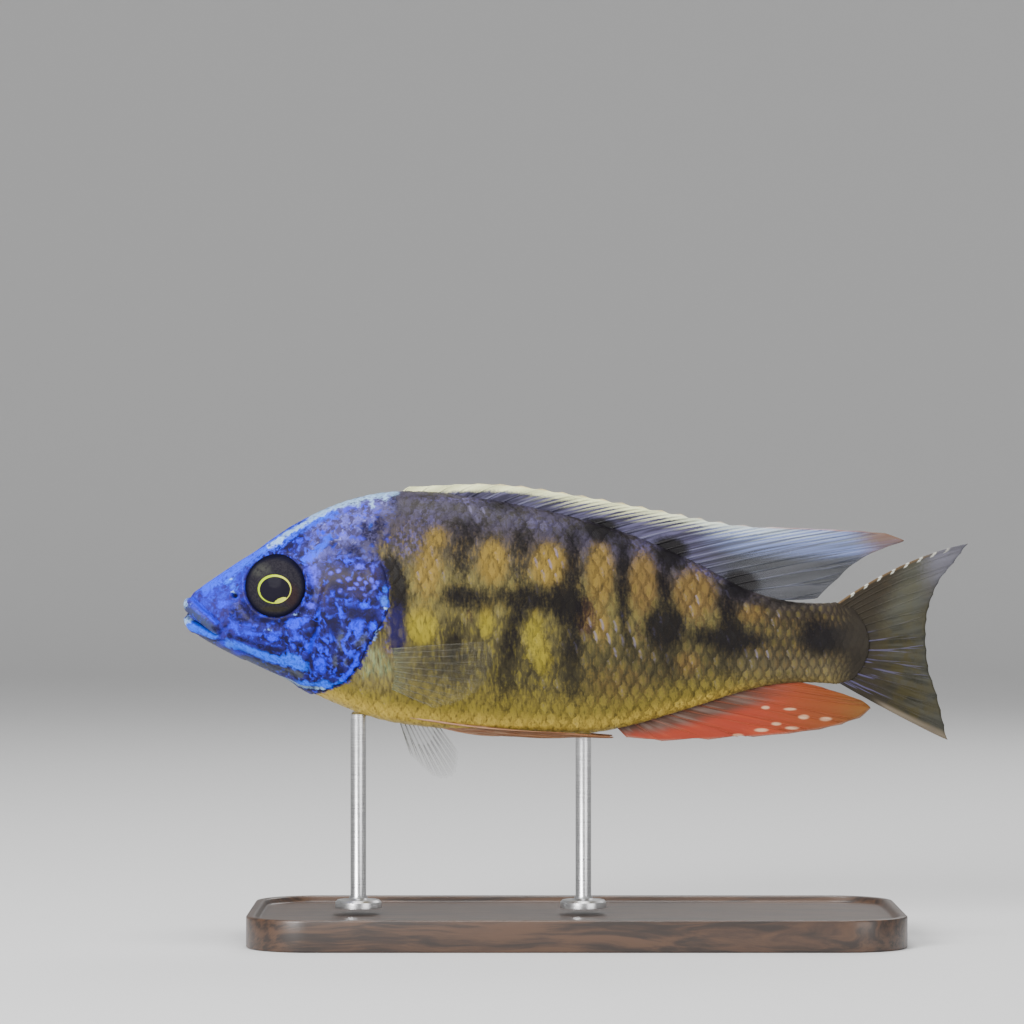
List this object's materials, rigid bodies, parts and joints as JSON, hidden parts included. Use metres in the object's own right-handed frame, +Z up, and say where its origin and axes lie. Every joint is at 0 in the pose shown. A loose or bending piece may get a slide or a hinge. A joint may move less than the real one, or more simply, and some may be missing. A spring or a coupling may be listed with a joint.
{
  "type": "taiwan reef cichlid museum model",
  "caption": "Life-size still model of a male taiwan reef cichlid swimming with folded fins, held by rods on a flat display base.",
  "frame": {"origin": "middle of the stand base's underside", "axes": "+Z up, the fish faces -X, its left side faces -Y"},
  "size_m": [0.1501, 0.058, 0.087],
  "materials": {
    "head_skin": "wet blue skin with darker marks",
    "flank_skin": "scaled skin, yellow olive with dark bars",
    "eye": "glossy dark eye with a yellow ring",
    "dorsal_membrane": "rayed fin membrane, blue grey with a cream edge",
    "anal_membrane": "rayed fin membrane, orange red with pale spots",
    "caudal_membrane": "rayed fin membrane, olive grey",
    "clear_membrane": "clear rayed fin membrane",
    "pelvic_membrane": "rayed fin membrane, salmon red",
    "base_wood": "dark satin hardwood",
    "rod_steel": "brushed steel rod"
  },
  "bodies": {
    "root": {"head": "head_skin", "lower_jaw": "head_skin", "gill_cover_left": "head_skin", "gill_cover_right": "head_skin", "trunk": "flank_skin", "tail_stalk": "flank_skin", "eye_left": "eye", "eye_right": "eye", "dorsal_fin": "dorsal_membrane", "anal_fin": "anal_membrane", "caudal_fin": "caudal_membrane", "pectoral_fin_left": "clear_membrane", "pectoral_fin_right": "clear_membrane", "pelvic_fin_left": "pelvic_membrane", "pelvic_fin_right": "pelvic_membrane", "stand_base": "base_wood", "stand_rod_front": "rod_steel", "stand_rod_rear": "rod_steel"}
  },
  "joints": []
}
